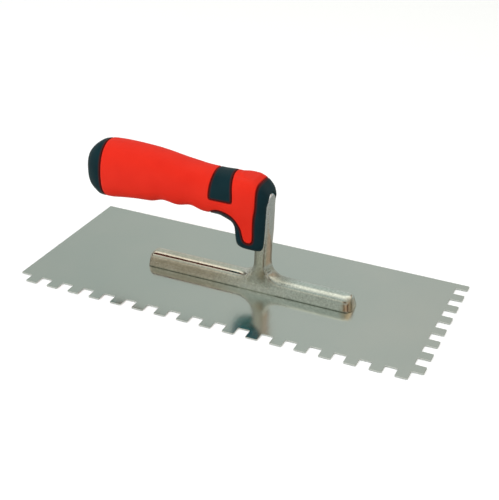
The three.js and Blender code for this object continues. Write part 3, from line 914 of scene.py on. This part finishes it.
# ---------------------------------------------------------------------------
# floor
# ---------------------------------------------------------------------------
def floor_material():
    material, graph, surface = new_material("floor_paper")
    path = graph.add("LightPath").outputs
    camera_ray = path["Is Camera Ray"]
    near_glow = 0.16                 # emission seen by the camera
    glow = graph.math("MULTIPLY", camera_ray, near_glow)
    # evens the paper out towards the horizon
    far = graph.vector("LENGTH", graph.place).outputs["Value"]
    glow = graph.math("MULTIPLY_ADD", graph.remap(far, span=(1.4, 4.5), to=(0, 0.42)),
                      camera_ray, glow)
    # the metal mirrors the paper as a darker grey: a painted reflection
    graph.fill(surface, {
        "Base Color": graph.mix(path["Is Glossy Ray"], (0.905, 0.925, 0.965),
                                (0.37, 0.385, 0.355)),
        "Emission Color": (0.97, 0.98, 1.0, 1), "Emission Strength": glow,
        "Roughness": 0.9, "Specular IOR Level": 0.1})
    return material


def make_floor(half_size=6.0, drop=0.0002):
    bm = bmesh.new()
    bmesh.ops.create_grid(bm, x_segments=2, y_segments=2, size=half_size)
    mesh = bpy.data.meshes.new("floor")
    bm.to_mesh(mesh)
    bm.free()
    floor = add_object("floor", mesh)
    floor.location = (0, 0, -drop)
    floor.data.materials.append(floor_material())
    return floor


make_floor()

# ---------------------------------------------------------------------------
# world
# ---------------------------------------------------------------------------
# Rings of sky: turn, red, green, blue. Turn 0 and 1 = -X, 0.25 = the camera side (-Y),
# 0.5 = +X, 0.75 = the far side (+Y).
LOW_RING = [
    (0.0, 0.21, 0.205, 0.18), (0.05, 0.30, 0.275, 0.22), (0.11, 0.42, 0.39, 0.32),
    (0.15, 0.49, 0.44, 0.35), (0.170, 0.40, 0.38, 0.305), (0.188, 0.415, 0.42, 0.355),
    (0.208, 0.415, 0.445, 0.40), (0.238, 0.43, 0.45, 0.40), (0.262, 0.26, 0.18, 0.11),
    (0.300, 0.27, 0.19, 0.12), (0.325, 0.60, 0.48, 0.39), (0.37, 0.58, 0.46, 0.37),
    (0.395, 0.10, 0.055, 0.03), (0.44, 0.13, 0.08, 0.05), (0.475, 0.62, 0.48, 0.36),
    (0.525, 0.52, 0.42, 0.30), (0.555, 0.11, 0.105, 0.065), (0.62, 0.13, 0.13, 0.085),
    (0.66, 0.55, 0.56, 0.50), (0.70, 0.575, 0.61, 0.57), (0.83, 0.575, 0.61, 0.57),
    (0.88, 0.30, 0.30, 0.27), (0.94, 0.20, 0.195, 0.17), (1.0, 0.21, 0.205, 0.18)]
MID_RING = [
    (0.0, 0.18, 0.18, 0.16), (0.05, 0.22, 0.22, 0.195), (0.11, 0.38, 0.375, 0.33),
    (0.16, 0.54, 0.53, 0.46), (0.20, 0.63, 0.62, 0.545), (0.24, 0.62, 0.59, 0.51),
    (0.275, 0.40, 0.34, 0.27), (0.30, 0.17, 0.12, 0.08), (0.345, 0.17, 0.115, 0.075),
    (0.375, 0.40, 0.35, 0.29), (0.42, 0.54, 0.52, 0.46), (0.47, 0.56, 0.51, 0.43),
    (0.56, 0.58, 0.52, 0.43), (0.62, 0.61, 0.47, 0.36), (0.68, 0.68, 0.48, 0.365),
    (0.715, 0.31, 0.26, 0.20), (0.745, 0.30, 0.255, 0.20), (0.77, 0.60, 0.62, 0.585),
    (0.80, 0.56, 0.61, 0.58), (0.828, 0.515, 0.565, 0.53), (0.848, 0.485, 0.535, 0.505),
    (0.865, 0.42, 0.45, 0.42), (0.89, 0.27, 0.27, 0.245), (0.95, 0.17, 0.17, 0.15),
    (1.0, 0.18, 0.18, 0.16)]
SOFT_RING = [
    (0.0, 0.60, 0.615, 0.60), (0.09, 0.52, 0.53, 0.51), (0.15, 0.43, 0.43, 0.39),
    (0.23, 0.42, 0.44, 0.39), (0.30, 0.47, 0.48, 0.45), (0.375, 0.62, 0.635, 0.62),
    (0.5, 0.47, 0.485, 0.47), (0.625, 0.60, 0.615, 0.60), (0.75, 0.56, 0.58, 0.56),
    (0.875, 0.60, 0.615, 0.60), (1.0, 0.60, 0.615, 0.60)]
# from the far horizon (0) through the zenith (0.5) to the camera side (1)
OVERHEAD = [
    (0.0, 0.575, 0.61, 0.57), (0.19, 0.575, 0.61, 0.57), (0.225, 0.72, 0.72, 0.66),
    (0.27, 1.02, 0.99, 0.90), (0.36, 1.22, 1.18, 1.06), (0.45, 1.15, 1.11, 1.00),
    (0.53, 0.86, 0.85, 0.78), (0.61, 0.66, 0.67, 0.62), (0.68, 0.50, 0.55, 0.52),
    (0.85, 0.45, 0.48, 0.44), (1.0, 0.40, 0.40, 0.34)]


def make_world():
    world = bpy.data.worlds.new("studio")
    bpy.context.scene.world = world
    world.use_nodes = True
    graph = Graph(world.node_tree)
    output = graph.add("OutputWorld")
    background = graph.add("Background", {"Strength": 1.0})
    graph.fill(output, {0: background.outputs[0]})
    x, y, z = graph.split(graph.add("TexCoord").outputs["Generated"])
    turn = graph.remap(graph.math("ARCTAN2", y, x), span=(-math.pi, math.pi))
    over = graph.remap(graph.math("ARCTAN2", z, y), span=(0, math.pi))
    soft = graph.ramp(turn, SOFT_RING)
    # each band takes over from the one below across its span of z
    bands = [((0.050, 0.075), graph.ramp(turn, LOW_RING)),
             ((0.16, 0.20), soft),
             ((0.34, 0.39), graph.ramp(turn, MID_RING)),
             ((0.56, 0.68), graph.ramp(over, OVERHEAD))]
    sky = soft
    for span, band in bands:
        sky = graph.mix(graph.remap(z, span=span), sky, band)
    # the camera itself sees a plain pale backdrop
    pale = graph.add("RGB").outputs[0]
    pale.default_value = (0.95, 0.955, 0.96, 1)
    camera_ray = graph.add("LightPath").outputs["Is Camera Ray"]
    graph.fill(background, {"Color": graph.mix(camera_ray, sky, pale)})


make_world()


# ---------------------------------------------------------------------------
# lights and camera
# ---------------------------------------------------------------------------
def softbox(name, place, target, size, power):
    """A white rectangular light that the metal doesn't mirror."""
    light = bpy.data.lights.new(name, "AREA")
    light.shape = "RECTANGLE"
    light.size, light.size_y = size
    light.energy = power
    light.color = (1, 1, 1)
    ob = add_object(name, light)
    ob.location = place
    aim = Vector(target) - Vector(place)
    ob.rotation_euler = aim.to_track_quat("-Z", "Y").to_euler()
    ob.visible_glossy = False


softbox("top_softbox", place=(-0.1, -0.2, 1.6), target=(0, 0, 0), size=(1.8, 1.8), power=6.7)
softbox("left_softbox", place=(-1.0, -1.2, 0.5), target=(0, 0, 0.05), size=(1.2, 0.9),
        power=10.4)
softbox("right_softbox", place=(1.3, -0.8, 0.8), target=(0, 0, 0.05), size=(1.0, 1.0),
        power=4.2)


def make_camera(target, distance, azimuth, elevation, roll, lens):
    """Look at target (mm) from distance; angles in degrees, azimuth from -Y to +X."""
    a, e, r = (math.radians(angle) for angle in (azimuth, elevation, roll))
    back = Vector((math.sin(a) * math.cos(e), -math.cos(a) * math.cos(e), math.sin(e)))
    place = Vector(target) + back * distance
    forward = -back
    right = forward.cross(Vector((0, 0, 1))).normalized()
    down = forward.cross(right)
    right, down = (right * math.cos(r) - down * math.sin(r),
                   right * math.sin(r) + down * math.cos(r))
    camera = bpy.data.cameras.new("camera")
    ob = add_object("camera", camera)
    camera.sensor_width = 36.0
    camera.sensor_fit = "AUTO"
    camera.lens = lens
    camera.clip_start = 0.01
    camera.clip_end = 50
    ob.matrix_world = Matrix([(right[i], -down[i], back[i], place[i] * MM) for i in range(3)]
                             + [(0, 0, 0, 1)])
    bpy.context.scene.camera = ob


make_camera(target=(-15.942, 46.421, 0), distance=772.3, azimuth=22.312, elevation=27.222,
            roll=2.279, lens=77.4936)

view = bpy.context.scene.view_settings
view.view_transform = "Standard"
view.look = "None"
